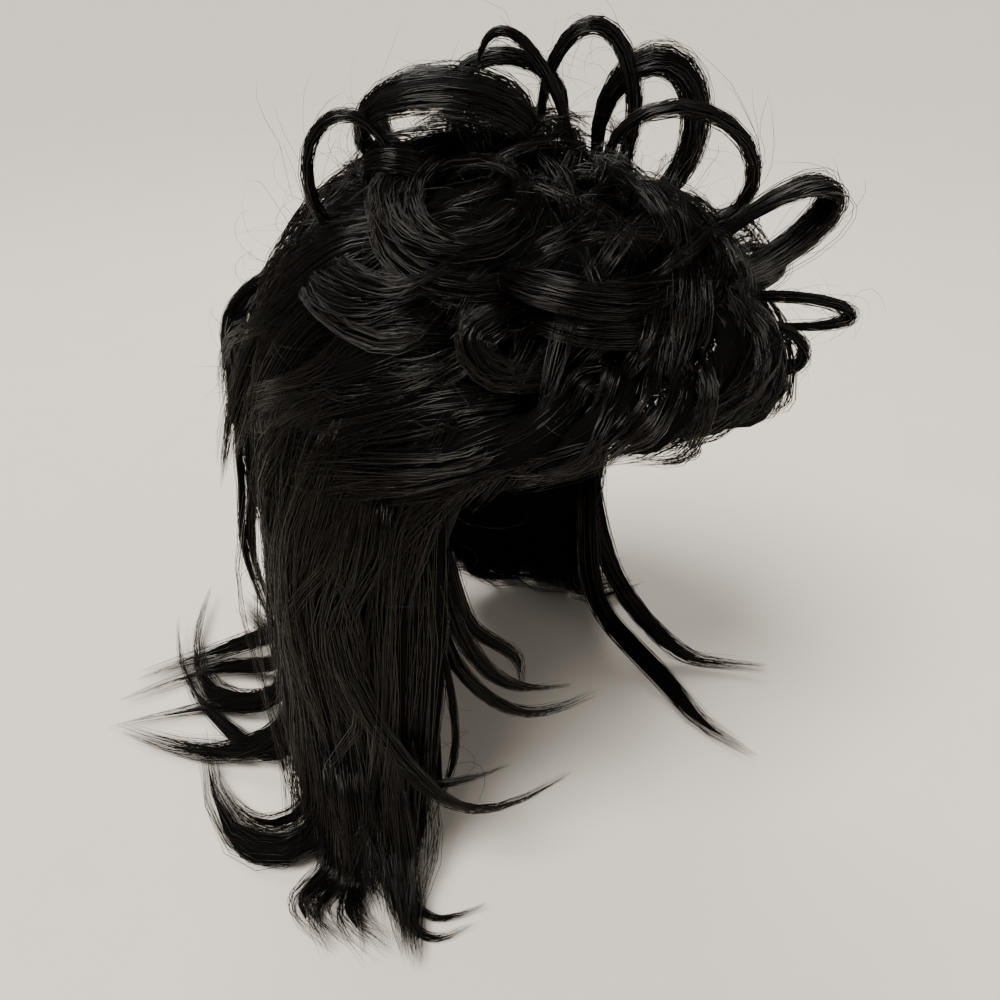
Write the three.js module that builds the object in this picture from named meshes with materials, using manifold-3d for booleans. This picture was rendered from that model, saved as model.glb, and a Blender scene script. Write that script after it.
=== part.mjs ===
// Synthetic wig: a stretch cap that carries sections of fibre hair, dressed with barrel curls standing on
// the crown, a curled fringe, side waves swept back and long straight falls with flicked ends.
// Millimetres, +Z up, the front toward -Y and the wearer's right toward -X.
// The origin is the inside of the cap at the crown, where the wearer's head carries it.
import * as THREE from 'three';
import { mergeVertices } from 'three/addons/utils/BufferGeometryUtils.js';
import Module from 'manifold-3d';

const wasm = await Module();
wasm.setup();

// The hollow that the cap is stretched over: half width, half length, and crown to widest level
const HALF_WIDTH = 76;
const HALF_LENGTH = 96;
const CROWN_HEIGHT = 100;

// Cap wall, and the clearance kept between neighbouring pieces
const CAP_WALL = 1.5;
const CLEARANCE = 0.4;
const CAP_COLUMNS = 32;
const CAP_ROWS = 5;

// Where the cap rim lies, as a tape measure down from the crown, by turn away from the front
const CAP_RIM = [
  // turn, down
  [0, 100],
  [40, 102],
  [66, 114],
  [84, 172],
  [102, 168],
  [135, 200],
  [180, 218],
];

// Underside of the teased hair off the head, clear of the cap by more than its facets sag
const HAIR_FOOT = 3.1;

// Thickness of the teased hair off the head, by tape measure down from the crown
const CROWN_LOFT = [
  // down, out
  [0, 33],
  [30, 34],
  [58, 31],
];
const FRINGE_LOFT = [
  // down, out
  [58, 34],
  [84, 36],
  [104, 12],
];
const SIDE_LOFT = [
  // down, out
  [58, 31],
  [90, 28],
  [120, 22],
  [142, 8],
];
const BACK_LOFT = [
  // down, out
  [58, 31],
  [84, 27],
  [104, 25],
  [120, 20],
  [135, 16],
  [160, 12],
  [230, 11],
  [270, 10],
];
const FALL_LOFT = [
  // down, out
  [142, 11],
  [200, 19],
  [240, 18],
  [266, 13],
];
const LUMP = 3;
const LUMP_TURN = 24;
const LUMP_DOWN = 19;

// Facets of each section's teased hair: columns round, rows down, and the crown's rows as shares of its edge
const CROWN_COLUMNS = 24;
const CROWN_FOOT_ROWS = [0, 0.33, 0.67, 1];
const CROWN_TOP_ROWS = [1, 0.75, 0.5, 0.25, 0];
const RIM_MARGIN = 1;
const FRINGE_CELLS = [12, 4];
const SIDE_CELLS = [6, 5];
const FALL_CELLS = [8, 5];
const BACK_CELLS = [10, 8];
const EDGE_SHARE = 0.01;

// Extra height combed up above the brow, fading away from its peak
const QUIFF = 11;
const QUIFF_TURN = -14;
const QUIFF_DOWN = 62;
const QUIFF_BREADTH = 42;
const QUIFF_REACH = 24;

// Where the sections divide: the crown edge, and the edges of fringe, side and back by turn
const CROWN_EDGE = 58;
const FRINGE_HEM = 104;
const FRINGE_TURN = 50;
const SIDE_HEM = 142;
const TEMPLE_TURN = 58;
const EAR_TURN = 84;
const BACK_TURN = 132;
const FALL_FRONT_TURN = 74;
const FALL_HEM = 266;
const BACK_HEM = 270;
const FALL_INSET = 6;
const BACK_INSET = 1.5;
const INSET_EASE = 50;

// A lock is a flattened bundle: its sides, and how far its width and depth draw in at each end
const LOCK_SIDES = 4;
const LOCK_STEPS = 6;
const LOOP_STEP = 42;
const ROOT_SHARE = 0.8;
const GATHER_TO = 0.25;
const TIP_SHARE = 0.22;
const TAPER_FROM = 0.65;
const WAVE_DEPTH = 9;
const FALL_DEPTH = 9;
const STRAND_DEPTH = 3.6;
const LINE_TENSION = 0.5;

// Columns of a laid lock's row: where each station starts, and the band
const STATION_COLUMNS = [0, 3, 6, 9];
const BAND_COLUMN = 12;

// Barrel curls on the crown: the root's place, the compass turn and rise that the curl stands toward, the
// compass heading that it opens along, the arc that it winds through, its height, breadth and ribbon section
const CROWN_CURLS = [
  // turn, down, out, toward, rise, heading, start, sweep, tall, wide, band, depth
  [121, 54, 22, 120, 88, 155, 0, 330, 44, 32, 8, 4],
  [112, 16, 26, 65, 70, -25, 0, 330, 34, 62, 26, 7],
  [118, 34, 29, 65, 50, -25, 0, 320, 18, 22, 14, 5],
  [84, 17, 40, -115, 40, -25, 180, 340, 50, 58, 13, 10],
  [-24, 30, 30, 155, 75, -25, 80, 140, 92, 34, 6, 4],
  [-38, 46, 28, -25, 88, -25, 40, 270, 66, 36, 6, 6],
  [-100, 28, 28, -90, 66, 155, 0, 330, 38, 48, 16, 5],
  [224, 36, 26, 220, 60, 140, 0, 330, 36, 44, 16, 5],
];

// Loops and small curls that stand forward out of the fringe, in the same columns
const FRINGE_CURLS = [
  // turn, down, out, toward, rise, heading, start, sweep, tall, wide, band, depth
  [-40, 62, 34, -25, 80, -25, 30, 290, 54, 38, 16, 10],
  [-13, 67, 34, -25, 76, -25, 20, 310, 44, 56, 9, 5],
  [-6, 80, 30, -25, 36, -25, 10, 320, 54, 20, 24, 5],
  [-6, 90, 30, -25, -4, -25, 10, 320, 50, 12, 6, 4],
  [-3, 98, 24, -25, -10, -25, 10, 320, 34, 20, 8, 4],
  [4, 101, 20, -25, -20, -25, 10, 320, 32, 18, 8, 4],
  [-34, 92, 26, -40, 4, -40, 10, 320, 36, 18, 10, 4],
];

// Fringe locks: root, two stations along the lock and the tip, each as turn, down and out
const FRINGE_LOCKS = [
  // root turn, down, out, first turn, down, out, second turn, down, out, tip turn, down, out, band
  [37, 92, 26, 46, 106, 42, 55, 114, 34, 69, 120, 26, 10],
  [4, 70, 26, 14, 98, 40, 32, 110, 32, 50, 114, 18, 12],
  [-6, 74, 26, 2, 102, 40, 20, 114, 32, 40, 115, 18, 10],
  [-16, 78, 26, -10, 106, 40, 4, 119, 34, 22, 119, 22, 10],
  [-28, 78, 26, -24, 106, 38, -14, 123, 36, 0, 126, 26, 10],
  [-40, 76, 26, -40, 106, 36, -34, 126, 34, -20, 131, 26, 10],
  [63, 67, 28, 52, 76, 44, 36, 80, 46, 7, 71, 42, 14],
  [60, 77, 28, 69, 86, 42, 65, 95, 40, 52, 96, 40, 12],
];

// Side waves on the wearer's right, in the fringe's columns: the left side mirrors them
const SIDE_WAVES = [
  // root turn, down, out, first turn, down, out, second turn, down, out, tip turn, down, out, band
  [116, 64, 24, 122, 90, 30, 125, 122, 30, 129, 153, 33, 14],
  [97, 64, 26, 108, 87, 32, 118, 110, 28, 126, 135, 24, 18],
  [127, 66, 24, 105, 79, 36, 90, 81, 37, 75, 71, 34, 14],
  [75, 83, 25, 88, 93, 34, 101, 103, 32, 118, 120, 28, 16],
  [70, 91, 24, 83, 100, 33, 95, 109, 31, 107, 119, 30, 15],
  [61, 99, 22, 74, 104, 32, 85, 110, 31, 104, 122, 29, 15],
  [54, 102, 20, 66, 111, 32, 80, 118, 30, 104, 132, 28, 14],
  [57, 106, 18, 69, 117, 28, 83, 125, 27, 102, 140, 25, 13],
];

// Locks of the long fall on the wearer's right, in the fringe's columns: the left fall mirrors them
const FALL_LOCKS = [
  // root turn, down, out, first turn, down, out, second turn, down, out, tip turn, down, out, band
  [80, 148, 9, 80, 200, 21, 85, 296, 24, 78, 321, 73, 18],
  [85, 148, 9, 86, 200, 25, 89, 296, 27, 80, 321, 70, 22],
  [93, 148, 9, 95, 206, 27, 95, 296, 30, 84, 321, 62, 22],
  [102, 148, 9, 104, 214, 28, 101, 296, 32, 88, 321, 50, 22],
  [111, 148, 9, 113, 220, 27, 110, 298, 30, 94, 321, 46, 22],
  [117, 148, 9, 116, 220, 22, 115, 300, 24, 98, 321, 44, 20],
  [112, 148, 9, 103, 292, 33, 113, 320, 62, 145, 320, 59, 18],
];

// Loose ends beside the wearer's right cheek and neck, in the same columns
const RIGHT_ENDS = [
  // root turn, down, out, first turn, down, out, second turn, down, out, tip turn, down, out, band
  [79, 158, 14, 72, 184, 14, 62, 204, 9, 60, 226, 6, 8],
  [79, 168, 14, 72, 198, 13, 62, 221, 8, 46, 225, 5, 9],
  [80, 180, 14, 74, 212, 12, 60, 236, 8, 38, 231, 5, 8],
  [99, 152, 9, 90, 218, 37, 73, 277, 26, 46, 271, 10, 15],
];

// Loose ends drawn forward from the fall on the wearer's left, in the same columns
const LEFT_ENDS = [
  // root turn, down, out, first turn, down, out, second turn, down, out, tip turn, down, out, band
  [-82, 190, 12, -70, 270, 14, -50, 316, 34, -39, 319, 76, 16],
  [-80, 200, 11, -69, 294, 6, -28, 317, 17, -11, 319, 51, 16],
];

// Locks of the back fall, fanned out over the surface behind, in the same columns
const BACK_LOCKS = [
  // root turn, down, out, first turn, down, out, second turn, down, out, tip turn, down, out, band
  [134, 66, 22, 135, 112, 19, 136, 212, 10, 138, 312, 18, 20],
  [162, 66, 22, 162, 112, 19, 164, 212, 9, 165, 314, 24, 20],
  [198, 66, 22, 198, 112, 19, 196, 212, 9, 195, 314, 24, 20],
  [226, 66, 22, 225, 112, 19, 224, 212, 10, 222, 312, 18, 20],
  [134, 190, 10, 132, 284, 16, 137, 318, 50, 149, 320, 108, 18],
  [158, 190, 9, 160, 290, 13, 164, 317, 60, 154, 320, 111, 14],
  [172, 190, 9, 176, 284, 16, 171, 316, 62, 160, 320, 109, 18],
  [190, 190, 9, 190, 262, 13, 190, 316, 48, 191, 321, 92, 16],
  [216, 190, 9, 216, 262, 13, 214, 314, 42, 212, 321, 80, 18],
  [146, 190, 9, 148, 296, 15, 156, 318, 58, 187, 316, 110, 16],
];

// A place on the hair: degrees round from the front toward the wearer's right, tape measure down from the
// crown, and distance off the head; below the widest level the sides drop straight
function seat(turn, down, out) {
  const around = THREE.MathUtils.degToRad(turn);
  const arc = down / CROWN_HEIGHT;
  const bend = Math.min(arc, Math.PI / 2);
  const ring = Math.sin(bend);
  const drop = Math.max(arc - Math.PI / 2, 0) * CROWN_HEIGHT;
  const x = -(HALF_WIDTH + out) * ring * Math.sin(around);
  const y = -(HALF_LENGTH + out) * ring * Math.cos(around);
  const z = -CROWN_HEIGHT + (CROWN_HEIGHT + out) * Math.cos(bend) - drop;
  return new THREE.Vector3(x, y, z);
}

// The direction straight off the head at a place
function outward(turn, down) {
  return seat(turn, down, 1).sub(seat(turn, down, 0)).normalize();
}

// A level direction by compass turn, 0 forward and positive toward the wearer's right
function compass(turn) {
  const around = THREE.MathUtils.degToRad(turn);
  return new THREE.Vector3(-Math.sin(around), -Math.cos(around), 0);
}

// Reads a two-column table at any value, easing from row to row
function readTable(table, value) {
  const last = table.length - 1;
  let row = table.findIndex(([at]) => at >= value);
  row = row < 0 ? last : Math.max(row, 1);
  const [from, low] = table[row - 1];
  const [to, high] = table[row];
  return THREE.MathUtils.lerp(low, high, THREE.MathUtils.smoothstep(value, from, to));
}

// Turns a closed geometry into a solid that can be joined and cut
function solidOf(geometry) {
  geometry.deleteAttribute('normal');
  geometry.deleteAttribute('uv');
  const welded = mergeVertices(geometry);
  const vertProperties = new Float32Array(welded.getAttribute('position').array);
  const triVerts = new Uint32Array(welded.getIndex().array);
  return new wasm.Manifold(new wasm.Mesh({ numProp: 3, vertProperties, triVerts }));
}

// Moves every vertex of a geometry to the place that a function gives for it
function mapVertices(geometry, place) {
  const position = geometry.getAttribute('position');
  const from = new THREE.Vector3();
  for (let i = 0; i < position.count; i += 1) {
    const to = place(from.fromBufferAttribute(position, i));
    position.setXYZ(i, to.x, to.y, to.z);
  }
  return geometry;
}

// How wide a lock is along its length: a little gathered at the root, full, then drawn to a blunt tip
function lockShare(along) {
  const gather = THREE.MathUtils.lerp(ROOT_SHARE, 1, THREE.MathUtils.smoothstep(along, 0, GATHER_TO));
  return gather * THREE.MathUtils.lerp(1, TIP_SHARE, THREE.MathUtils.smoothstep(along, TAPER_FROM, 1));
}

// A lock along a path: a flattened round section carried with its width turned as little as possible
function lockAlong(path, across, band, depth, grow) {
  const steps = path.length - 1;
  const centres = path.map((point) => point.clone());
  const first = path[0].clone().sub(path[1]).setLength(grow);
  const final = path[steps].clone().sub(path[steps - 1]).setLength(grow);
  centres[0].add(first);
  centres[steps].add(final);
  const widths = [];
  const depths = [];
  const width = across.clone();
  for (let i = 0; i <= steps; i += 1) {
    const ahead = path[Math.min(i + 1, steps)];
    const along = ahead.clone().sub(path[Math.max(i - 1, 0)]).normalize();
    width.addScaledVector(along, -width.dot(along)).normalize();
    const share = lockShare(i / steps);
    widths.push(width.clone().multiplyScalar(share * band / 2 + grow));
    depths.push(width.clone().cross(along).multiplyScalar(share * depth / 2 + grow));
  }
  const section = new THREE.CylinderGeometry(1, 1, 1, LOCK_SIDES, steps);
  return solidOf(mapVertices(section, ({ x, y, z }) => {
    const i = Math.round((y + 0.5) * steps);
    return centres[i].clone().addScaledVector(widths[i], x).addScaledVector(depths[i], z);
  }));
}

// A barrel curl: an ellipse that starts at its root and winds up, over and back
function curl(row, grow) {
  const [turn, down, out, toward, rise, heading, start, sweep, tall, wide, band, depth] = row;
  const climb = THREE.MathUtils.degToRad(rise);
  const up = compass(toward).multiplyScalar(Math.cos(climb));
  up.z = Math.sin(climb);
  const ahead = compass(heading);
  ahead.addScaledVector(up, -ahead.dot(up)).normalize();
  const root = seat(turn, down, out);
  const begin = THREE.MathUtils.degToRad(start);
  const steps = Math.ceil(sweep / LOOP_STEP);
  const path = [];
  for (let i = 0; i <= steps; i += 1) {
    const angle = begin + THREE.MathUtils.degToRad(sweep * i / steps);
    const point = root.clone();
    point.addScaledVector(up, tall / 2 * (Math.cos(begin) - Math.cos(angle)));
    point.addScaledVector(ahead, wide / 2 * (Math.sin(angle) - Math.sin(begin)));
    path.push(point);
  }
  return lockAlong(path, up.clone().cross(ahead), band, depth, grow);
}

// A laid lock: a smooth line through its root, two stations and tip
function laidLock(row, depth, grow) {
  const stations = STATION_COLUMNS.map((column) => new THREE.Vector3(...row.slice(column, column + 3)));
  const line = new THREE.CatmullRomCurve3(stations, false, 'catmullrom', LINE_TENSION);
  const path = line.getPoints(LOCK_STEPS).map(({ x, y, z }) => seat(x, y, z));
  const across = path[1].clone().sub(path[0]).cross(outward(row[0], row[1]));
  return lockAlong(path, across, row[BAND_COLUMN], depth, grow);
}

// The mirror image of a laid lock's row, on the wearer's other side
function mirrored(row) {
  return row.map((value, column) => (STATION_COLUMNS.includes(column) ? -value : value));
}

// Uneven height of teased hair
function lump(turn, down) {
  return LUMP * Math.sin(turn / LUMP_TURN * Math.PI) * Math.cos(down / LUMP_DOWN);
}

// Height of the quiff at a place
function quiff(turn, down) {
  const aside = (turn - QUIFF_TURN) / QUIFF_BREADTH;
  const below = (down - QUIFF_DOWN) / QUIFF_REACH;
  return QUIFF * Math.exp(-aside * aside - below * below);
}

// Backing of teased hair between two turns, from a top level down to a hem, lofted off the cap by a table
function backing(turns, top, hem, loft, inset, cells, grow) {
  const block = new THREE.BoxGeometry(1, 1, 1, cells[0], cells[1], 1);
  const spread = grow / HALF_WIDTH * THREE.MathUtils.RAD2DEG;
  return solidOf(mapVertices(block, ({ x, y, z }) => {
    const turn = THREE.MathUtils.lerp(turns[0] - spread, turns[1] + spread, x + 0.5);
    const down = THREE.MathUtils.lerp(top - grow, hem(turn) + grow, y + 0.5);
    const edge = Math.min(0.5 - Math.abs(x), 0.5 - Math.abs(y)) < EDGE_SHARE;
    const thick = readTable(loft, down) + quiff(turn, down) + (edge ? 0 : lump(turn, down));
    const foot = HAIR_FOOT + inset(down);
    return seat(turn, down, z > 0 ? thick + grow : foot - grow);
  }));
}

// Backing of the crown: a dome of teased hair, closed over the top
function crownBacking(grow) {
  const edge = CROWN_EDGE - CLEARANCE + grow;
  const foot = HAIR_FOOT - grow;
  const under = CROWN_FOOT_ROWS.map((share) => new THREE.Vector2(edge * share, foot));
  const over = CROWN_TOP_ROWS.map((share) => {
    return new THREE.Vector2(edge * share, readTable(CROWN_LOFT, edge * share) + grow);
  });
  const dome = new THREE.LatheGeometry([...under, ...over], CROWN_COLUMNS);
  return solidOf(mapVertices(dome, ({ x, y, z }) => {
    const turn = THREE.MathUtils.RAD2DEG * Math.atan2(-x, z);
    const down = Math.hypot(x, z);
    const upper = y > HAIR_FOOT + grow;
    const inner = down > RIM_MARGIN && down < edge - RIM_MARGIN;
    const rise = quiff(turn, down) + (inner ? lump(turn, down) : 0);
    return seat(turn, down, y + (upper ? rise : 0));
  }));
}

// The cap: a thin dome whose rim dips at the temples, ears and nape
function capShell() {
  const profile = [];
  for (let i = 0; i <= CAP_ROWS; i += 1) {
    profile.push(new THREE.Vector2(i / CAP_ROWS, 0));
  }
  for (let i = CAP_ROWS; i >= 0; i -= 1) {
    profile.push(new THREE.Vector2(i / CAP_ROWS, CAP_WALL));
  }
  const dome = new THREE.LatheGeometry(profile, CAP_COLUMNS);
  return solidOf(mapVertices(dome, ({ x, y, z }) => {
    const turn = THREE.MathUtils.RAD2DEG * Math.atan2(-x, z);
    return seat(turn, Math.hypot(x, z) * readTable(CAP_RIM, Math.abs(turn)), y);
  }));
}

// Section makers: each gives its backing and locks fused into one body, a little grown where asked
const flush = () => 0;
const eased = (down) => THREE.MathUtils.smoothstep(down, SIDE_HEM, SIDE_HEM + INSET_EASE);
const fallInset = (down) => FALL_INSET * eased(down);
const backInset = (down) => BACK_INSET * eased(down);
const join = (solids) => solids.reduce((whole, solid) => whole.add(solid));

function crownCurls(grow) {
  return join([crownBacking(grow), ...CROWN_CURLS.map((row) => curl(row, grow))]);
}

function frontFringe(grow) {
  const turns = [-FRINGE_TURN, FRINGE_TURN];
  const back = backing(turns, CROWN_EDGE, () => FRINGE_HEM, FRINGE_LOFT, flush, FRINGE_CELLS, grow);
  const curls = FRINGE_CURLS.map((row) => curl(row, grow));
  const locks = FRINGE_LOCKS.map((row) => laidLock(row, WAVE_DEPTH, grow));
  return join([back, ...curls, ...locks]);
}

// The side's hem: level with the fringe at the temple, lower over the ear
function sideHem(turn) {
  const lower = THREE.MathUtils.smoothstep(Math.abs(turn), TEMPLE_TURN, EAR_TURN);
  return THREE.MathUtils.lerp(FRINGE_HEM, SIDE_HEM, lower);
}

function sideWaves(side, grow) {
  const near = side * (FRINGE_TURN + CLEARANCE);
  const far = side * (BACK_TURN - CLEARANCE);
  const turns = [Math.min(near, far), Math.max(near, far)];
  const back = backing(turns, CROWN_EDGE, sideHem, SIDE_LOFT, flush, SIDE_CELLS, grow);
  const rows = side > 0 ? SIDE_WAVES : SIDE_WAVES.map(mirrored);
  return join([back, ...rows.map((row) => laidLock(row, WAVE_DEPTH, grow))]);
}

function sideFall(side, ends, grow) {
  const near = side * FALL_FRONT_TURN;
  const far = side * (BACK_TURN - CLEARANCE);
  const turns = [Math.min(near, far), Math.max(near, far)];
  const back = backing(turns, SIDE_HEM + CLEARANCE, () => FALL_HEM, FALL_LOFT, fallInset, FALL_CELLS, grow);
  const rows = side > 0 ? FALL_LOCKS : FALL_LOCKS.map(mirrored);
  const locks = rows.map((row) => laidLock(row, FALL_DEPTH, grow));
  return join([back, ...locks, ...ends.map((row) => laidLock(row, STRAND_DEPTH, grow))]);
}

function backFall(grow) {
  const turns = [BACK_TURN, 360 - BACK_TURN];
  const back = backing(turns, CROWN_EDGE, () => BACK_HEM, BACK_LOFT, backInset, BACK_CELLS, grow);
  return join([back, ...BACK_LOCKS.map((row) => laidLock(row, FALL_DEPTH, grow))]);
}

// Dyed acrylic fibre, and the stretch net of the cap
const fibre = new THREE.MeshStandardMaterial({ color: 0x171311, roughness: 0.45, metalness: 0 });
const net = new THREE.MeshStandardMaterial({ color: 0x1c1a19, roughness: 0.9, metalness: 0 });

const wig = new THREE.Group();

function addPiece(name, solid, material) {
  const { vertProperties, triVerts } = solid.getMesh();
  const geometry = new THREE.BufferGeometry();
  geometry.setAttribute('position', new THREE.BufferAttribute(vertProperties, 3));
  geometry.setIndex(new THREE.BufferAttribute(triVerts, 1));
  const mesh = new THREE.Mesh(geometry, material);
  mesh.name = name;
  wig.add(mesh);
}

// Each section gives way, with clearance, to the sections dressed over it
function addSection(name, make, over) {
  const whole = over.reduce((rest, maker) => rest.subtract(maker(CLEARANCE)), make(0));
  const bodies = whole.decompose().sort((a, b) => b.volume() - a.volume());
  addPiece(name, bodies[0], fibre);
}

const rightWaves = (grow) => sideWaves(1, grow);
const leftWaves = (grow) => sideWaves(-1, grow);
const rightFall = (grow) => sideFall(1, RIGHT_ENDS, grow);
const leftFall = (grow) => sideFall(-1, LEFT_ENDS, grow);

addPiece('wig_cap', capShell(), net);
addSection('crown_curls', crownCurls, []);
addSection('front_fringe', frontFringe, [crownCurls]);
addSection('right_side_waves', rightWaves, [crownCurls, frontFringe]);
addSection('left_side_waves', leftWaves, [crownCurls, frontFringe]);
addSection('back_fall', backFall, [crownCurls, rightWaves, leftWaves]);
addSection('right_fall', rightFall, [rightWaves, frontFringe, backFall]);
addSection('left_fall', leftFall, [leftWaves, frontFringe, backFall]);

export default wig;
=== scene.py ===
import bpy
import numpy as np
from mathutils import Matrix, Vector


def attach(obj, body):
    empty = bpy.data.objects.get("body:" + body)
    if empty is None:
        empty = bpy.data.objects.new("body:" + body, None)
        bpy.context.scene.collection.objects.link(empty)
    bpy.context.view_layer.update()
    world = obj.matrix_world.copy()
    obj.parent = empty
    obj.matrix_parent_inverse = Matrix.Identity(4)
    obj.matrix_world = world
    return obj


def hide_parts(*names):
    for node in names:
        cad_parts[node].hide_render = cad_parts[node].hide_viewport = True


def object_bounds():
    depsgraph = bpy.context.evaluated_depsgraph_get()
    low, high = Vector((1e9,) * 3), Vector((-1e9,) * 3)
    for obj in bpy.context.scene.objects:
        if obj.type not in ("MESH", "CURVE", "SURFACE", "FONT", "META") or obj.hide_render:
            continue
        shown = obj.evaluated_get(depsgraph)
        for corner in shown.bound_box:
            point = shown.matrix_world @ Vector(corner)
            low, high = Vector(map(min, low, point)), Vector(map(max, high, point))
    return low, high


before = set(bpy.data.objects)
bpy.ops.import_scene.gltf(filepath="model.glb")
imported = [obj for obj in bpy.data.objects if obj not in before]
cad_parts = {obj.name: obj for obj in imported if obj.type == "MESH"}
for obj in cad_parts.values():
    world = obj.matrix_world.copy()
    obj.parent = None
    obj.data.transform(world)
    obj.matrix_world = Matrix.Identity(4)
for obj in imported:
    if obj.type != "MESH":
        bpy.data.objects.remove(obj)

cad_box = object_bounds()

# Camera: the photograph's viewpoint, above the standing curls, on the wig's right and toward the front.
# Its place and angles were fitted to the cap and the ends that lie on the surface. Sizes are millimetres.
MM = 0.001
EYE = (-350.5, -171.2, 118.0)
VIEW_TURN = 65.0
VIEW_DIP = 32.3
LENS = 35.3
SENSOR = 36.0
NEAREST = 10.0

camera_data = bpy.data.cameras.new("camera")
camera_data.lens = LENS
camera_data.sensor_width = SENSOR
camera_data.clip_start = NEAREST * MM
camera = bpy.data.objects.new("camera", camera_data)
bpy.context.collection.objects.link(camera)
turn = np.radians(VIEW_TURN)
dip = np.radians(VIEW_DIP)
looking = Vector((np.cos(dip) * np.sin(turn), np.cos(dip) * np.cos(turn), -np.sin(dip)))
camera.location = Vector(EYE) * MM
camera.rotation_euler = looking.to_track_quat("-Z", "Y").to_euler()
bpy.context.scene.camera = camera

# Floor: a plain pale studio floor just under the lowest ends, wide enough to fill the view.
# Matt painted board, warm off-white, with a faint mottle so that it isn't one flat tone.
FLOOR_DROP = 0.4
FLOOR_HALF = 9000.0
FLOOR_PALE = "#ded4c6"
FLOOR_SHADE = "#d8cebf"
FLOOR_MOTTLE = 60.0


def linear(hex_code):
    """An sRGB hex colour as linear red, green, blue and alpha."""
    channels = np.array([int(hex_code[i:i + 2], 16) for i in (1, 3, 5)]) / 255.0
    low = channels / 12.92
    high = ((channels + 0.055) / 1.055) ** 2.4
    return (*np.where(channels <= 0.04045, low, high), 1.0)


def add_node(tree, kind, settings=None, inputs=None):
    """Adds a node, sets its properties, and sets each input to a value or links an output to it."""
    node = tree.nodes.new(kind)
    for name, value in (settings or {}).items():
        setattr(node, name, value)
    for name, value in (inputs or {}).items():
        if isinstance(value, bpy.types.NodeSocket):
            tree.links.new(value, node.inputs[name])
        else:
            node.inputs[name].default_value = value
    return node


def new_material(name):
    """An empty node material with its output, and the tree to fill."""
    material = bpy.data.materials.new(name)
    material.use_nodes = True
    tree = material.node_tree
    tree.nodes.clear()
    return material, tree


def blend(tree, factor, first, second):
    """Two hex colours mixed by a factor."""
    colours = {"Factor": factor, "A": linear(first), "B": linear(second)}
    return add_node(tree, "ShaderNodeMix", {"data_type": "RGBA"}, colours).outputs["Result"]


def finish_material(tree, shader):
    """Links a shader to the material's surface."""
    add_node(tree, "ShaderNodeOutputMaterial", None, {"Surface": shader.outputs[0]})


lie_level = cad_box[0][2] / MM
floor_level = lie_level - FLOOR_DROP
floor_mesh = bpy.data.meshes.new("floor")
corners = np.array([(-1, -1), (1, -1), (1, 1), (-1, 1)]) * FLOOR_HALF * MM
floor_mesh.from_pydata([(x, y, floor_level * MM) for x, y in corners], [], [(0, 1, 2, 3)])
floor = bpy.data.objects.new("floor", floor_mesh)
bpy.context.collection.objects.link(floor)
floor_paint, tree = new_material("matt_painted_board")
place = add_node(tree, "ShaderNodeTexCoord")
mottle = add_node(tree, "ShaderNodeTexNoise", None,
                  {"Vector": place.outputs["Object"], "Scale": 1 / (FLOOR_MOTTLE * MM), "Detail": 3.0})
tint = blend(tree, mottle.outputs["Fac"], FLOOR_PALE, FLOOR_SHADE)
board = add_node(tree, "ShaderNodeBsdfPrincipled", None, {"Base Color": tint, "Roughness": 0.85})
finish_material(tree, board)
floor_mesh.materials.append(floor_paint)

# Studio light: an even pale surround, a far soft key from the camera's upper left that lights the whole
# floor alike, a weaker fill from the front and a strip behind that catches the tops of the curls.
SURROUND = "#f4f2ee"
SURROUND_STRENGTH = 0.2
KEY_FROM = (-620, 160, 1100)
KEY_STRENGTH = 5.6
KEY_ANGLE = 30.0
SOFT_LIGHTS = [
    # name, place, aimed at, breadth, watts
    ("fill", (-500, -900, 350), (0, 0, -100), 700, 3.0),
    ("strip", (500, 500, 800), (0, 0, 0), 500, 8.0),
]

world = bpy.data.worlds.new("studio")
bpy.context.scene.world = world
world.use_nodes = True
surround = world.node_tree.nodes["Background"]
surround.inputs["Color"].default_value = linear(SURROUND)
surround.inputs["Strength"].default_value = SURROUND_STRENGTH
key = bpy.data.lights.new("key", "SUN")
key.energy = KEY_STRENGTH
key.angle = np.radians(KEY_ANGLE)
key_object = bpy.data.objects.new("key", key)
key_object.rotation_euler = (-Vector(KEY_FROM)).to_track_quat("-Z", "Y").to_euler()
bpy.context.collection.objects.link(key_object)
for name, where, aim, breadth, watts in SOFT_LIGHTS:
    lamp = bpy.data.lights.new(name, "AREA")
    lamp.energy = watts
    lamp.size = breadth * MM
    lamp_object = bpy.data.objects.new(name, lamp)
    lamp_object.location = Vector(where) * MM
    lamp_object.rotation_euler = (Vector(aim) - Vector(where)).to_track_quat("-Z", "Y").to_euler()
    bpy.context.collection.objects.link(lamp_object)

# Wig cap: the stretch cap that all the hair is sewn to, a fine dark net in one thin dome.
# Its rim dips at the temples, ears and nape. It is finished plainly, because the hair hides it.
HALF_WIDTH = 76.0
HALF_LENGTH = 96.0
CROWN_HEIGHT = 100.0
CAP_WALL = 1.5
CAP_COLUMNS = 64
CAP_ROWS = 18
CAP_POLE = 0.004
CAP_RIM = np.array([
    # turn, down
    (0, 100),
    (40, 102),
    (66, 114),
    (84, 172),
    (102, 168),
    (135, 200),
    (180, 218),
], float)
NET_DARK = "#0d0b0a"
NET_THREAD = "#1d1917"
NET_PITCH = 1.6
NET_RELIEF = 0.4


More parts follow.
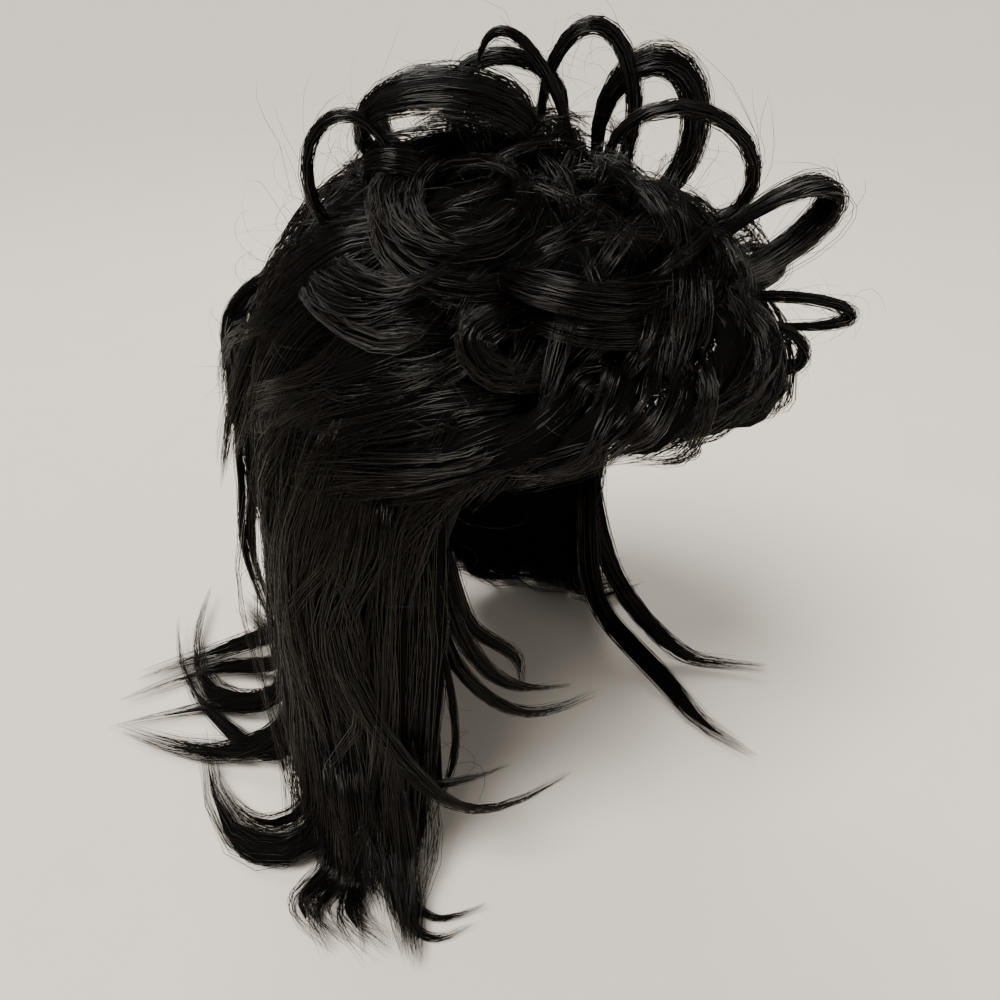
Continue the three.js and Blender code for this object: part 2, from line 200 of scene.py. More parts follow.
def seat(turn, down, out):
    """A place on the cap's form: degrees round from the front toward the wig's right, tape measure down
    from the crown, and millimetres off the surface. It is an ellipsoid that drops straight from its widest
    level down."""
    around = np.radians(turn)
    arc = down / CROWN_HEIGHT
    bend = np.minimum(arc, np.pi / 2)
    drop = np.maximum(arc - np.pi / 2, 0) * CROWN_HEIGHT
    x = -(HALF_WIDTH + out) * np.sin(bend) * np.sin(around)
    y = -(HALF_LENGTH + out) * np.sin(bend) * np.cos(around)
    z = -CROWN_HEIGHT + (CROWN_HEIGHT + out) * np.cos(bend) - drop
    return np.stack([x, y, z], -1)


def ease(value, low, high):
    """A smooth step from 0 at low to 1 at high."""
    share = np.clip((value - low) / (high - low), 0, 1)
    return share * share * (3 - 2 * share)


def read_table(table, value):
    """Reads a two-column table at any value, easing from row to row."""
    row = np.clip(np.searchsorted(table[:, 0], value), 1, len(table) - 1)
    share = ease(value, table[row - 1, 0], table[row, 0])
    return table[row - 1, 1] + (table[row, 1] - table[row - 1, 1]) * share


def make_piece(name, points, corners, sizes, maps=None, tone=None):
    """A mesh object from vertices in millimetres, the vertex of every face corner, each face's corner count,
    corner UV maps by name, and a value per vertex called tone."""
    mesh = bpy.data.meshes.new(name)
    mesh.vertices.add(len(points))
    mesh.vertices.foreach_set("co", (points * MM).astype(np.float32).ravel())
    mesh.loops.add(len(corners))
    mesh.loops.foreach_set("vertex_index", corners.astype(np.int32))
    mesh.polygons.add(len(sizes))
    starts = np.concatenate([[0], np.cumsum(sizes)[:-1]])
    mesh.polygons.foreach_set("loop_start", starts.astype(np.int32))
    mesh.polygons.foreach_set("use_smooth", np.ones(len(sizes), bool))
    for label, values in (maps or {}).items():
        layer = mesh.uv_layers.new(name=label)
        layer.data.foreach_set("uv", values.astype(np.float32).ravel())
    if tone is not None:
        layer = mesh.attributes.new("tone", "FLOAT", "POINT")
        layer.data.foreach_set("value", tone.astype(np.float32))
    mesh.update(calc_edges=True)
    mesh.validate()
    piece = bpy.data.objects.new(name, mesh)
    bpy.context.collection.objects.link(piece)
    return piece


def grid_corners(rows, columns, wrap):
    """Corner vertices of the quads of a grid of rows by columns of vertices, wrapped round in columns."""
    down, along = np.meshgrid(np.arange(rows - 1), np.arange(columns if wrap else columns - 1), indexing="ij")
    beside = (along + 1) % columns
    quad = [down * columns + along, down * columns + beside,
            (down + 1) * columns + beside, (down + 1) * columns + along]
    return np.stack(quad, -1).reshape(-1, 4)


def tube_faces(rings, sides):
    """Faces of a tube of rings of vertices, with one face to close it at each end: the vertex of every face
    corner, and each face's corner count."""
    quads = grid_corners(rings, sides, True)
    first_cap = np.arange(sides)[::-1]
    last_cap = np.arange(sides) + (rings - 1) * sides
    sizes = np.concatenate([np.full(len(quads), 4), [sides, sides]])
    return np.concatenate([quads.ravel(), first_cap, last_cap]), sizes


# The cap's profile runs from the crown down the outside, round the rim and up the inside
levels = np.linspace(CAP_POLE, 1, CAP_ROWS)
profile_down = np.concatenate([levels, levels[::-1]])
profile_out = np.concatenate([np.full(CAP_ROWS, CAP_WALL), np.zeros(CAP_ROWS)])
cap_turn = np.linspace(-180, 180, CAP_COLUMNS, endpoint=False)
rim = read_table(CAP_RIM, np.abs(cap_turn))
cap_points = seat(cap_turn[None], profile_down[:, None] * rim[None], profile_out[:, None]).reshape(-1, 3)
cap = make_piece("wig_cap_net", cap_points, *tube_faces(2 * CAP_ROWS, CAP_COLUMNS))

# Knitted nylon net: matt, near black, with a fine even mesh that shows as a soft grain
net, tree = new_material("knitted_nylon_net")
place = add_node(tree, "ShaderNodeTexCoord")
mesh_grain = add_node(tree, "ShaderNodeTexVoronoi", None,
                      {"Vector": place.outputs["Object"], "Scale": 1 / (NET_PITCH * MM)})
thread = blend(tree, mesh_grain.outputs["Distance"], NET_DARK, NET_THREAD)
relief = add_node(tree, "ShaderNodeBump", None,
                  {"Height": mesh_grain.outputs["Distance"], "Strength": 0.4, "Distance": NET_RELIEF * MM})
knit = add_node(tree, "ShaderNodeBsdfPrincipled", None,
                {"Base Color": thread, "Normal": relief.outputs["Normal"], "Roughness": 0.9})
finish_material(tree, knit)
cap.data.materials.append(net)
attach(cap, "root")
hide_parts("wig_cap")

# Crown curls: barrel curls and loops of fibre set over teased hair on top of the cap.
# Each curl is a ribbon of strands wound up from its root, over and back, round a hollow middle.
CROWN_CURLS = np.array([
    # turn, down, out, toward, rise, heading, start, sweep, tall, wide, band, depth, tighten
    (121, 54, 22, 120, 88, 155, 0, 330, 44, 32, 8, 4, 0),
    (112, 16, 26, 65, 70, -25, 0, 330, 34, 62, 26, 7, 0),
    (118, 34, 29, 65, 50, -25, 0, 320, 18, 22, 14, 5, 0),
    (84, 17, 40, -115, 40, -25, 180, 430, 54, 62, 13, 12, 0.42),
    (80, 21, 38, -115, 40, -25, 190, 400, 46, 50, 12, 8, 0.4),
    (90, 26, 36, -115, 36, -25, 200, 300, 58, 70, 10, 8, 0.1),
    (-24, 30, 30, 155, 75, -25, 80, 140, 92, 34, 6, 4, 0),
    (-38, 46, 28, -25, 88, -25, 40, 270, 66, 36, 6, 6, 0),
    (-100, 28, 28, -90, 66, 155, 0, 330, 38, 48, 16, 5, 0),
    (224, 36, 26, 220, 60, 140, 0, 330, 36, 44, 16, 5, 0),
], float)
CURL_COLUMNS = 10
TIGHTEN_COLUMN = 12
SWIRL_TURN = 76.0
SWIRL_DOWN = 42.0
SWIRL_SPAN = np.array([30.0, 18.0])
CROWN_LOFT = np.array([
    # down, out
    (0, 33),
    (30, 34),
    (58, 31),
], float)
CROWN_TOP = 0.5
CROWN_EDGE = 57.6
HAIR_FOOT = 3.1
QUIFF = 11.0
QUIFF_TURN = -14.0
QUIFF_DOWN = 62.0
QUIFF_BREADTH = 42.0
QUIFF_REACH = 24.0
CROWN_SEED = 11
PATH_POINTS = 41
FIBRE_BLACK = "#020202"
FIBRE_BROWN = "#0f0907"
FIBRE_GLINT = "#fff6ea"
FIBRE_WIDE = 0.46
FIBRE_THICK = 0.26
# darker brown of the teased hair under the strands: painted shade for the hair in shadow inside the mass
PAINTED_SHADE_BROWN = "#060504"
TEASE_GRAIN = 1.43
TEASE_RELIEF = 0.6


def quiff(turn, down):
    """Extra height combed up at the front: a round hill in turn and down."""
    aside = (turn - QUIFF_TURN) / QUIFF_BREADTH
    below = (down - QUIFF_DOWN) / QUIFF_REACH
    return QUIFF * np.exp(-aside * aside - below * below)


def compass(turn):
    """A level direction, 0 forward and positive toward the wig's right."""
    around = np.radians(turn)
    return np.stack([-np.sin(around), -np.cos(around), np.zeros_like(around)], -1)


def unit(vectors):
    """Vectors at length one."""
    return vectors / np.maximum(np.linalg.norm(vectors, axis=-1, keepdims=True), 1e-9)


def dot(first, second):
    """Inner products, kept as a last axis of one."""
    return np.sum(first * second, -1, keepdims=True)


def curl_paths(rows):
    """Paths of barrel curls: an ellipse in the plane of the way that the curl stands and the way that it
    opens, from its starting angle through its sweep. It starts at the root and may tighten as it winds.
    Also the width direction at the root, square to that plane."""
    turn, down, out, toward, rise, heading, start, sweep, tall, wide = rows[:, :CURL_COLUMNS].T
    tighten = rows[:, TIGHTEN_COLUMN:] if rows.shape[1] > TIGHTEN_COLUMN else 0
    climb = np.radians(rise)[:, None]
    up = compass(toward) * np.cos(climb) + np.array([0, 0, 1.0]) * np.sin(climb)
    ahead = compass(heading)
    ahead = unit(ahead - up * dot(ahead, up))
    wound = np.linspace(0, 1, PATH_POINTS)
    angle = np.radians(start[:, None] + sweep[:, None] * wound)
    begin = np.radians(start)[:, None]
    size = (1 - tighten * wound) / 2
    lift = tall[:, None] * (np.cos(begin) / 2 - np.cos(angle) * size)
    run = wide[:, None] * (np.sin(angle) * size - np.sin(begin) / 2)
    path = seat(turn, down, out)[:, None] + up[:, None] * lift[..., None] + ahead[:, None] * run[..., None]
    return path, np.cross(up, ahead)


def curl_locks(rows):
    """Curls as locks: paths, width directions at the roots, bands, and depths, which are a share of the band
    where the table has none."""
    band = rows[:, CURL_COLUMNS]
    depth = rows[:, CURL_COLUMNS + 1] if rows.shape[1] > CURL_COLUMNS + 1 else band * ARC_FLAT
    return (*curl_paths(rows), band, depth)


def carry_frame(path, across):
    """Width and depth directions along paths: the width at the root is carried forward and freed at each
    station of what lies along the path, and the depth is at right angles to both."""
    along = unit(np.gradient(path, axis=1))
    width = np.empty_like(path)
    carried = across
    for station in range(path.shape[1]):
        ahead = along[:, station]
        carried = unit(carried - ahead * dot(carried, ahead))
        width[:, station] = carried
    return width, np.cross(width, along)


# How a lock is gathered at its root and drawn in toward its tip, in shares of its section and length
ROOT_GATHER = 0.2
ROOT_REACH = 0.25
TIP_FROM = 0.62
LEAST_TURNING = 0.5


def bend_shares(path):
    """How far each path has come at its points, from 0 to 1: its share of length and of turning together, so
    that even steps of it lie closer where the path bends."""
    step = np.diff(path, axis=1)
    length = np.linalg.norm(step, axis=-1)
    ahead = unit(step)
    turning = np.arccos(np.clip(np.sum(ahead[:, 1:] * ahead[:, :-1], -1), -1, 1))
    turning = np.concatenate([turning[:, :1], turning], 1)
    whole_turning = np.sum(turning, 1, keepdims=True) + LEAST_TURNING
    effort = length / np.sum(length, 1, keepdims=True) + turning / whole_turning
    come = np.cumsum(np.concatenate([0 * effort[:, :1], effort], 1), 1)
    return come / come[:, -1:]


def follow(path, rows, along):
    """Places so far along the paths of some rows, each a mix of the two points about it, and the number of
    the point before."""
    place = along * (PATH_POINTS - 1)
    before = np.minimum(place.astype(int), PATH_POINTS - 2)
    share = (place - before)[..., None]
    return path[rows, before] * (1 - share) + path[rows, before + 1] * share, before


def lock_share(along, tip):
    """How full a lock is along its length: gathered at the root, full, then drawn in toward its tip."""
    gathered = 1 - ROOT_GATHER + ROOT_GATHER * ease(along, 0, ROOT_REACH)
    return gathered * (1 + (tip - 1) * ease(along, TIP_FROM, 1))


# How strands lie in a lock: squared shares of its half section, shares of its length, and spreads of
# length, drift in radians, crimps, tone and size from strand to strand
WISPS = 6
SKIN_RING = (0.4, 1.15)
WISP_RING = (0.1, 1.4)
WISP_PART = 0.6
WISP_DRAW = 0.7
WISP_FROM = 0.5
ROOT_SCATTER = 0.06
SHORTNESS = (1.1, 3.0)
DRIFT = 0.6
LOOSE_SPAN = (0.3, 1.2)
CRIMP_BEATS = (0.8, 2.6)
CRIMP_SPAN = (0.02, 0.2)
LOCK_TONE = 0.2
STRAND_TONE = (1.3, 2.6)
STRAND_SIZE = (0.35, 1.25)
STRAND_LIE = 0.3
POINT_SHARE = 0.12
POINT_SLOPE = 3.2
CELL_MARGIN = 0.08
CURLED = {"tip": 0.5, "loose": 0.18, "ragged": 0.1, "bell": 1}
COMBED = {"tip": 0.6, "loose": 0.5, "ragged": 0.2}
CURL_DENSITY = 4.6


def grow_strands(locks, counts, rng, points, tip=0.3, loose=0.5, ragged=0.25, bell=0, frizz=0.45):
    """Strands of locks: each keeps its own place near the skin of the lock's flattened round section, drifts
    round it slowly, crimps a little, draws in to its wisp at the tip and ends at its own length. Loose ones
    leave the lock toward its tip or, with bell at 1, round its middle. Gives strands, the way that each lies
    flat, tones and sizes."""
    path, across, band, depth = locks
    width, deep = carry_frame(path, across)
    lock = np.repeat(np.arange(len(path)), counts)
    total = len(lock)
    wisp = rng.integers(0, WISPS, total)
    wisp_radius = np.sqrt(rng.uniform(*WISP_RING, (len(path), WISPS)))[lock, wisp][:, None]
    wisp_angle = rng.uniform(0, 2 * np.pi, (len(path), WISPS))[lock, wisp][:, None]
    wisp_length = rng.beta(*SHORTNESS, (len(path), WISPS))[lock, wisp]
    radius = np.sqrt(rng.uniform(*SKIN_RING, total))[:, None]
    angle = rng.uniform(0, 2 * np.pi, total)
    start = rng.uniform(0, ROOT_SCATTER, total)
    stop = 1 - ragged * (WISP_PART * wisp_length + (1 - WISP_PART) * rng.beta(*SHORTNESS, total))
    shares = bend_shares(path)
    even = np.linspace(0, 1, PATH_POINTS)
    along = np.empty((total, points))
    for one in range(len(path)):
        mine = lock == one
        first = np.interp(start[mine], even, shares[one])[:, None]
        final = np.interp(stop[mine], even, shares[one])[:, None]
        along[mine] = np.interp(first + (final - first) * np.linspace(0, 1, points), shares[one], even)
    rows = lock[:, None]
    centre, before = follow(path, rows, along)
    wide_way = width[rows, before]
    deep_way = deep[rows, before]
    drift = angle[:, None] + rng.normal(0, DRIFT, total)[:, None] * along
    draw = WISP_DRAW * ease(along, WISP_FROM, 1)
    spring = (1 - bell) * ease(along, *LOOSE_SPAN) ** 2 + bell * np.sin(np.pi * along) ** 2
    stray = 1 + rng.exponential(loose, total)[:, None] * spring
    wide_share = radius * np.cos(drift) * (1 - draw) + wisp_radius * np.cos(wisp_angle) * draw
    deep_share = radius * np.sin(drift) * (1 - draw) + wisp_radius * np.sin(wisp_angle) * draw
    fullness = lock_share(along, tip) * stray / 2
    crimp = rng.normal(0, frizz, (2, total, 1))
    beat = rng.uniform(*CRIMP_BEATS, (2, total, 1))
    phase = rng.uniform(0, 2 * np.pi, (2, total, 1))
    ripple = crimp * np.sin(2 * np.pi * beat * along + phase) * ease(along, *CRIMP_SPAN)
    aside = band[lock][:, None] * fullness * wide_share + ripple[0]
    proud = depth[lock][:, None] * fullness * deep_share + ripple[1]
    strands = centre + wide_way * aside[..., None] + deep_way * proud[..., None]
    flat = -wide_way * (np.sin(drift) * band[lock][:, None])[..., None]
    flat = flat + deep_way * (np.cos(drift) * depth[lock][:, None])[..., None]
    strands[..., 2] = np.maximum(strands[..., 2], lie_level + STRAND_LIE)
    tone = rng.normal(0, LOCK_TONE, len(path))[lock] + rng.beta(*STRAND_TONE, total)
    return strands, unit(flat), np.clip(tone, 0, 1), rng.uniform(*STRAND_SIZE, total)


def curl_counts(locks):
    """Strands for each curl, by its band and depth together."""
    return (CURL_DENSITY * (locks[2] + locks[3])).astype(int)


def strand_counts(locks, density):
    """Strands for each lock, by its band."""
    return (locks[2] * density).astype(int)


def strand_piece(name, groups):
    """One mesh of closed three-sided strands. A flattened section is carried along each strand and drawn to a
    fine tip, and each strand has its own cell of the bake map and its own tone."""
    points, corners, sizes, atlas, tones = [], [], [], [], []
    total = sum(len(group[0]) for group in groups)
    cells = int(np.ceil(np.sqrt(total)))
    first_vertex = 0
    first_strand = 0
    for strands, flat, tone, size in groups:
        count, stations = strands.shape[:2]
        ahead = unit(np.gradient(strands, axis=1))
        side = unit(flat - ahead * dot(flat, ahead))
        over = np.cross(ahead, side)
        size = size[:, None]
        fade = np.minimum(1, POINT_SHARE + POINT_SLOPE * (1 - np.linspace(0, 1, stations)))[None]
        half_wide = (FIBRE_WIDE / 2 * size * fade)[..., None, None]
        half_thick = (FIBRE_THICK / 2 * np.sqrt(size) * fade)[..., None, None]
        ring = np.radians([90.0, 210.0, 330.0])
        spread = side[:, :, None] * (np.cos(ring)[:, None] * half_wide)
        spread = spread + over[:, :, None] * (np.sin(ring)[:, None] * half_thick)
        points.append((strands[:, :, None] + spread).reshape(-1, 3))
        one, one_size = tube_faces(stations, 3)
        base = first_vertex + np.arange(count)[:, None] * stations * 3
        corners.append((base + one).ravel())
        sizes.append(np.tile(one_size, count))
        level = np.repeat(np.arange(stations - 1), 3)[:, None] + np.array([0, 0, 1, 1])
        round_way = np.tile(np.arange(3), stations - 1)[:, None] + np.array([0, 1, 1, 0])
        u = np.concatenate([round_way.ravel() / 3, [0.2, 0.5, 0.8], [0.2, 0.5, 0.8]])
        v = np.concatenate([level.ravel() / (stations - 1), [0, 0.02, 0], [1, 0.98, 1]])
        index = first_strand + np.arange(count)[:, None]
        cell_u = (index % cells + CELL_MARGIN + (1 - 2 * CELL_MARGIN) * u) / cells
        cell_v = (index // cells + CELL_MARGIN + (1 - 2 * CELL_MARGIN) * v) / cells
        atlas.append(np.stack([cell_u, cell_v], -1).reshape(-1, 2))
        tones.append(np.repeat(tone, stations * 3))
        first_vertex += count * stations * 3
        first_strand += count
    maps = {"OFBake": np.concatenate(atlas)}
    return make_piece(name, np.concatenate(points), np.concatenate(corners), np.concatenate(sizes),
                      maps, np.concatenate(tones))


# The dark core of a lock: how far it lies under the strands, its share of the lock's section and its facets
CORE_SINK = 3.0
CORE_SHARE = 0.56
LOOP_FILL = 0.84
CORE_SIDES = 8
CORE_STEP = 3
CORE_TAPER = 0.93
CORE_LIE = 0.2
LOOP_CORE = {"tip": 0.5, "reach": 1.0, "thin": 0.9, "fill": LOOP_FILL}


def core_of_locks(locks, tip=0.3, reach=0.8, thin=0.5, fill=CORE_SHARE):
    """Dark middles of locks: an eight-sided flattened section carried along each path for its reach, thinned
    from a share of that reach on and closed at both ends. Gives vertices, face corners and corner counts."""
    path, across, band, depth = locks
    width, deep = carry_frame(path, across)
    stations = np.arange(0, reach * PATH_POINTS, CORE_STEP).astype(int)
    along = stations / (PATH_POINTS - 1)
    full = lock_share(along, tip)[None, :, None] * fill
    full = full * (1 - CORE_TAPER * ease(along, thin * reach, reach))[None, :, None]
    round_way = np.linspace(0, 2 * np.pi, CORE_SIDES, endpoint=False)
    aside = band[:, None, None] / 2 * full * np.cos(round_way)
    proud = depth[:, None, None] / 2 * full * np.sin(round_way)
    ring = path[:, stations, None] + width[:, stations, None] * aside[..., None]
    ring = ring - deep[:, stations, None] * proud[..., None]
    ring[..., 2] = np.maximum(ring[..., 2], lie_level + CORE_LIE)
    one, one_size = tube_faces(len(stations), CORE_SIDES)
    base = np.arange(len(path))[:, None] * len(stations) * CORE_SIDES
    return ring.reshape(-1, 3), (base + one).ravel(), np.tile(one_size, len(path))


def core_patch(turns, top, hem, outer, inner, cells):
    """A closed pad of teased hair: a grid over turn and down, lifted by one function on its outer face and
    another on its inner face, and closed all round its edge. Its hem is a level for each turn."""
    columns, rows = cells
    turn, share = np.meshgrid(np.linspace(*turns, columns), np.linspace(0, 1, rows))
    down = top + (hem(turn) - top) * share
    upper = seat(turn, down, outer(turn, down)).reshape(-1, 3)
    lower = seat(turn, down, inner(turn, down)).reshape(-1, 3)
    quads = grid_corners(rows, columns, False)
    edge = np.concatenate([np.arange(columns - 1), np.arange(rows - 1) * columns + columns - 1,
                           rows * columns - 1 - np.arange(columns - 1),
                           (rows - 1 - np.arange(rows - 1)) * columns])
    after = np.roll(edge, -1)
    size = rows * columns
    wall = np.stack([after, edge, edge + size, after + size], -1)
    corners = np.concatenate([quads, quads[:, ::-1] + size, wall])
    return np.concatenate([upper, lower]), corners.ravel(), np.full(len(corners), 4)


def join_shells(shells):
    """Several shells of vertices, corners and sizes as one."""
    offsets = np.cumsum([0] + [len(points) for points, _, _ in shells[:-1]])
    points = np.concatenate([shell[0] for shell in shells])
    corners = np.concatenate([shell[1] + offset for shell, offset in zip(shells, offsets)])
    return points, corners, np.concatenate([shell[2] for shell in shells])


def dress(name, node, groups, shells):
    """Makes a section's strands and its core, gives them their fibre and ties them to the frame."""
    strands = strand_piece(name + "_strands", groups)
    core = make_piece(name + "_core", *join_shells(shells))
    strands.data.materials.append(fibre)
    core.data.materials.append(underhair_painted_shade)
    for piece in (strands, core):
        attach(piece, "root")
    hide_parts(node)


# Low arcs for filling, and locks combed over a section
STEEPEST = 1.4
ARC_TILT = 8.0
ARC_TALL = (13, 22)
ARC_WIDE = (26, 56)
ARC_BAND = (7, 14)
ARC_START = (20, 60)
ARC_SWEEP = (170, 270)
ARC_FLAT = 0.5
ROOT_SINK = 4.0
LAID_COLUMNS = 12
ROW_MIX = (-0.15, 1.15)
ROW_SHIFT = 0.8
ROW_WANDER = 0.6
SWAY_SHARE = (0.3, 1)
SWAY_BEATS = (0.8, 1.6)
SWAY_ROOT = 0.3
COMB_FAN = 6.0
COMB_LENGTHS = (0.75, 1.25)
COMB_WANDER = 1.5
COMB_LIFT = (-2, 2.5)
COMB_BAND = (3, 7)
COMB_FLAT = 0.4


def wave_arcs(turns, downs, top, count, rng):
    """Low curls for filling: arcs that leave a section's outer face, hump over and sink back, standing
    straight off the cap and opening in any direction. Gives rows as a table of curls does."""
    turn = rng.uniform(*turns, count)
    down = rng.uniform(*downs, count)
    rise = 90 - np.degrees(np.minimum(down / CROWN_HEIGHT, STEEPEST)) + rng.normal(0, ARC_TILT, count)
    heading = rng.uniform(0, 360, count)
    out = top(turn, down) - ROOT_SINK
    tall = rng.uniform(*ARC_TALL, count)
    wide = rng.uniform(*ARC_WIDE, count)
    band = rng.uniform(*ARC_BAND, count)
    start = rng.uniform(*ARC_START, count)
    sweep = rng.uniform(*ARC_SWEEP, count)
    return np.stack([turn, down, out, turn, rise, heading, start, sweep, tall, wide, band], -1)


def laid_locks(rows, flat):
    """Laid locks: a Catmull-Rom line through the root, two stations and the tip, drawn in turn, down and out
    and then seated on the cap's form. Gives paths, width directions at the roots, along the surface, bands,
    and depths as a share of the band."""
    stations = rows[:, :LAID_COLUMNS].reshape(-1, 4, 3)
    ends = np.concatenate([2 * stations[:, :1] - stations[:, 1:2], stations,
                           2 * stations[:, -1:] - stations[:, -2:-1]], 1)
    place = np.linspace(0, 3, PATH_POINTS)
    span = np.minimum(place.astype(int), 2)
    s = (place - span)[None, :, None]
    p0, p1, p2, p3 = (ends[:, span + shift] for shift in range(4))
    line = 0.5 * (2 * p1 + (p2 - p0) * s + (2 * p0 - 5 * p1 + 4 * p2 - p3) * s ** 2
                  + (3 * p1 - p0 - 3 * p2 + p3) * s ** 3)
    path = seat(line[..., 0], line[..., 1], line[..., 2])
    root = stations[:, 0].T
    off_cap = seat(root[0], root[1], root[2] + 1) - seat(root[0], root[1], root[2])
    band = rows[:, LAID_COLUMNS]
    return path, np.cross(path[:, 1] - path[:, 0], off_cap), band, band * flat


def pick(locks, rows):
    """Some rows of a set of locks."""
    return tuple(values[rows] for values in locks)


def between_rows(rows, count, rng, spread, band):
    """More locks in the manner of a table: each mixes two neighbouring rows and strays a little in turn, down
    and out, as a whole and at every station."""
    first = rng.integers(0, len(rows) - 1, count)
    mix = rng.uniform(*ROW_MIX, count)[:, None]
    mixed = rows[first] * (1 - mix) + rows[first + 1] * mix
    wander = rng.normal(0, 1, (count, 4, 3)) * np.array(spread)
    shift = rng.normal(0, ROW_SHIFT, (count, 1, 3)) * np.array(spread)
    mixed[:, :LAID_COLUMNS] += (wander * ROW_WANDER + shift).reshape(count, LAID_COLUMNS)
    mixed[:, LAID_COLUMNS] = rng.uniform(*band, count)
    return mixed


def sway(locks, amount, rng):
    """Locks with a slow S-wave across them: a sine along each path, of its own height, length and start."""
    path, across, band, depth = locks
    width, _ = carry_frame(path, across)
    along = np.linspace(0, 1, PATH_POINTS)
    height = amount * rng.uniform(*SWAY_SHARE, (len(path), 1))
    beat = rng.uniform(*SWAY_BEATS, (len(path), 1))
    phase = rng.uniform(0, 2 * np.pi, (len(path), 1))
    wave = height * np.sin(2 * np.pi * beat * along + phase) * ease(along, 0, SWAY_ROOT)
    return path + width * wave[..., None], across, band, depth


def comb(turns, downs, sweep, length, top, count, rng):
    """Thin locks combed over a section: rooted anywhere between two turns and two levels, carried round by a
    sweep and down by a length, and riding just above the section's outer face. Gives rows of laid locks."""
    step = np.linspace(0, 1, 4)
    carry = sweep + rng.normal(0, COMB_FAN, count)
    reach = length * rng.uniform(*COMB_LENGTHS, count)
    turn = rng.uniform(*turns, count)[:, None] + carry[:, None] * step
    turn = turn + rng.normal(0, COMB_WANDER, (count, 4))
    down = rng.uniform(*downs, count)[:, None] + reach[:, None] * step
    down = np.maximum(down + rng.normal(0, COMB_WANDER, (count, 4)), 1)
    out = top(turn, down) + CORE_SINK + rng.uniform(*COMB_LIFT, (count, 4))
    out[:, 0] -= ROOT_SINK
    stations = np.stack([turn, down, out], -1).reshape(count, LAID_COLUMNS)
    return np.concatenate([stations, rng.uniform(*COMB_BAND, (count, 1))], 1)


def grow_comb(locks, rng, strands=7, points=7, frizz=0.45):
    """Strands of combed locks, as many in each."""
    return grow_strands(locks, np.full(len(locks[0]), strands), rng, points, frizz=frizz, **COMBED)


# Single hairs that spring loose of the dressing or leave a curl
STRAY_STEEPEST = 1.5
STRAY_LEAN = 40.0
STRAY_TILT = 25.0
STRAY_START = (0, 60)
STRAY_SWEEP = (60, 220)
STRAY_TALL = (8, 32)
STRAY_WIDE = (10, 44)
STRAY_SHARE = 0.4
STRAY_POINTS = 8
FLY_STRETCH = (0.18, 0.4)
FLY_FROM = (0.05, 0.6)
FLY_SPRING = 11.0
FLY_RIPPLE = 1.6
FLY_BEATS = (4, 12)


def stray_curls(turns, downs, top, count, rng):
    """Single hairs sprung loose of the dressing: thin arcs that stand off the surface any way."""
    turn = rng.uniform(*turns, count)
    down = rng.uniform(*downs, count)
    level = 90 - np.degrees(np.minimum(down / CROWN_HEIGHT, STRAY_STEEPEST))
    toward = turn + rng.normal(0, STRAY_LEAN, count)
    rise = level + rng.normal(0, STRAY_TILT, count)
    heading = rng.uniform(0, 360, count)
    shape = [rng.uniform(*span, count) for span in (STRAY_START, STRAY_SWEEP, STRAY_TALL, STRAY_WIDE)]
    return curl_paths(np.stack([turn, down, top(turn, down), toward, rise, heading, *shape], -1))


def grow_strays(paths, rng):
    """One strand along each stray path, its tone lifted halfway toward the brown end as a painted sheen for
    loose hairs that catch the light.
    """
    one = np.ones(len(paths[0]))
    locks = (*paths, one, one)
    strands, flat, tone, size = grow_strands(locks, one.astype(int), rng, STRAY_POINTS, ragged=0.2)
    # tone lifted halfway toward brown: painted sheen of loose hairs catching the light
    return strands, flat, (1 + tone) / 2, size * STRAY_SHARE


def flyaways(locks, count, rng):
    """Single hairs that leave a curl: each follows its path for a stretch and springs off it as the square of
    the way along, to its own side, with a small ripple."""
    path, across = locks[:2]
    width, deep = carry_frame(path, across)
    curl = rng.integers(0, len(path), count)[:, None]
    way = np.linspace(0, 1, PATH_POINTS)
    stretch = rng.uniform(*FLY_STRETCH, (count, 1))
    centre, before = follow(path, curl, rng.uniform(*FLY_FROM, (count, 1)) + stretch * way)
    spring = rng.normal(0, FLY_SPRING, (2, count, 1)) * way ** 2
    ripple = rng.normal(0, FLY_RIPPLE, (2, count, 1)) * np.sin(rng.uniform(*FLY_BEATS, (2, count, 1)) * way)
    aside, proud = (spring + ripple)[..., None]
    return centre + width[curl, before] * aside + deep[curl, before] * proud, across[curl[:, 0]]


def crown_top(turn, down):
    """Outer face of the teased crown."""
    return read_table(CROWN_LOFT, down) + quiff(turn, down) - CORE_SINK


def flat_foot(turn, down):
    """Inner face of teased hair that lies on the cap."""
    return 0 * down + HAIR_FOOT


def level_hem(down):
    """A hem at one level all along."""
    return lambda turn: 0 * turn + down


# Dyed acrylic fibre: near black with brown lights, smooth, so that each strand carries a soft long glint
fibre, tree = new_material("dyed_acrylic_fibre")
strand_tone = add_node(tree, "ShaderNodeAttribute", {"attribute_name": "tone"})
dye = blend(tree, strand_tone.outputs["Fac"], FIBRE_BLACK, FIBRE_BROWN)
strand_skin = add_node(tree, "ShaderNodeBsdfPrincipled", None,
                       {"Base Color": dye, "Roughness": 0.23, "Specular IOR Level": 0.3,
                        "Specular Tint": linear(FIBRE_GLINT)})
finish_material(tree, strand_skin)

